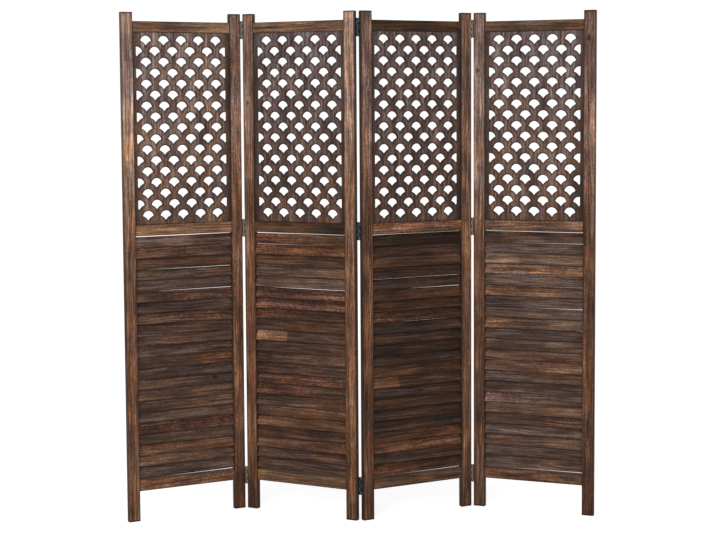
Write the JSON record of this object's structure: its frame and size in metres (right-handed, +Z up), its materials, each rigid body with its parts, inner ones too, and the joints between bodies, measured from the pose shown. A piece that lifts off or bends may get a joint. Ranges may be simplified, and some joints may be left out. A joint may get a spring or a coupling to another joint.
{
  "type": "folding screen",
  "caption": "Folding room divider of hinged wooden panels, each with fan-pierced fretwork above and fixed louvre slats below, standing zigzag on its post ends.",
  "frame": {"origin": "on the floor under the middle of the screen's bounding box, in the pose of the picture", "axes": "+Z up along the posts, +X to the right along the row of panels as seen from the front, +Y from the front to the back"},
  "size_m": [1.575, 0.2111, 1.7],
  "materials": {
    "post_wood": "satin",
    "rail_wood": "satin",
    "fretwork_wood": "matte",
    "slat_wood": "satin",
    "dowel_wood": "raw",
    "black_hinge": "satin",
    "pin_steel": "brushed",
    "black_screw": "satin"
  },
  "bodies": {
    "panel_1": {"panel_1_left_stile": "post_wood", "panel_1_right_stile": "post_wood", "panel_1_top_rail": "rail_wood", "panel_1_middle_rail": "rail_wood", "panel_1_bottom_rail": "rail_wood", "panel_1_fretwork": "fretwork_wood", "panel_1_slats": "slat_wood", "panel_1_dowels": "dowel_wood", "panel_1_screws": "black_screw", "hinge_12_bottom_left_leaf": "black_hinge", "hinge_12_middle_left_leaf": "black_hinge", "hinge_12_top_left_leaf": "black_hinge", "hinge_12_pins": "pin_steel"},
    "panel_2": {"panel_2_left_stile": "post_wood", "panel_2_right_stile": "post_wood", "panel_2_top_rail": "rail_wood", "panel_2_middle_rail": "rail_wood", "panel_2_bottom_rail": "rail_wood", "panel_2_fretwork": "fretwork_wood", "panel_2_slats": "slat_wood", "panel_2_dowels": "dowel_wood", "panel_2_screws": "black_screw", "hinge_12_bottom_right_leaf": "black_hinge", "hinge_12_middle_right_leaf": "black_hinge", "hinge_12_top_right_leaf": "black_hinge", "hinge_23_bottom_left_leaf": "black_hinge", "hinge_23_middle_left_leaf": "black_hinge", "hinge_23_top_left_leaf": "black_hinge", "hinge_23_pins": "pin_steel"},
    "panel_3": {"panel_3_left_stile": "post_wood", "panel_3_right_stile": "post_wood", "panel_3_top_rail": "rail_wood", "panel_3_middle_rail": "rail_wood", "panel_3_bottom_rail": "rail_wood", "panel_3_fretwork": "fretwork_wood", "panel_3_slats": "slat_wood", "panel_3_dowels": "dowel_wood", "panel_3_screws": "black_screw", "hinge_23_bottom_right_leaf": "black_hinge", "hinge_23_middle_right_leaf": "black_hinge", "hinge_23_top_right_leaf": "black_hinge", "hinge_34_bottom_left_leaf": "black_hinge", "hinge_34_middle_left_leaf": "black_hinge", "hinge_34_top_left_leaf": "black_hinge", "hinge_34_pins": "pin_steel"},
    "panel_4": {"panel_4_left_stile": "post_wood", "panel_4_right_stile": "post_wood", "panel_4_top_rail": "rail_wood", "panel_4_middle_rail": "rail_wood", "panel_4_bottom_rail": "rail_wood", "panel_4_fretwork": "fretwork_wood", "panel_4_slats": "slat_wood", "panel_4_dowels": "dowel_wood", "panel_4_screws": "black_screw", "hinge_34_bottom_right_leaf": "black_hinge", "hinge_34_middle_right_leaf": "black_hinge", "hinge_34_top_right_leaf": "black_hinge"}
  },
  "joints": [
    {"name": "fold_12", "type": "hinge", "parent": "panel_2", "child": "panel_1", "pos_m": [-0.39954, 0.07946, 0.85], "axis": [0, 0, 1], "range_deg": [-51.7, 128.3]},
    {"name": "fold_23", "type": "hinge", "parent": "panel_2", "child": "panel_3", "pos_m": [-0.00557, -0.08408, 0.85], "axis": [0, 0, 1], "range_deg": [-52.2, 127.8]},
    {"name": "fold_34", "type": "hinge", "parent": "panel_3", "child": "panel_4", "pos_m": [0.38489, 0.08767, 0.85], "axis": [0, 0, 1], "range_deg": [-132.7, 47.3]}
  ]
}
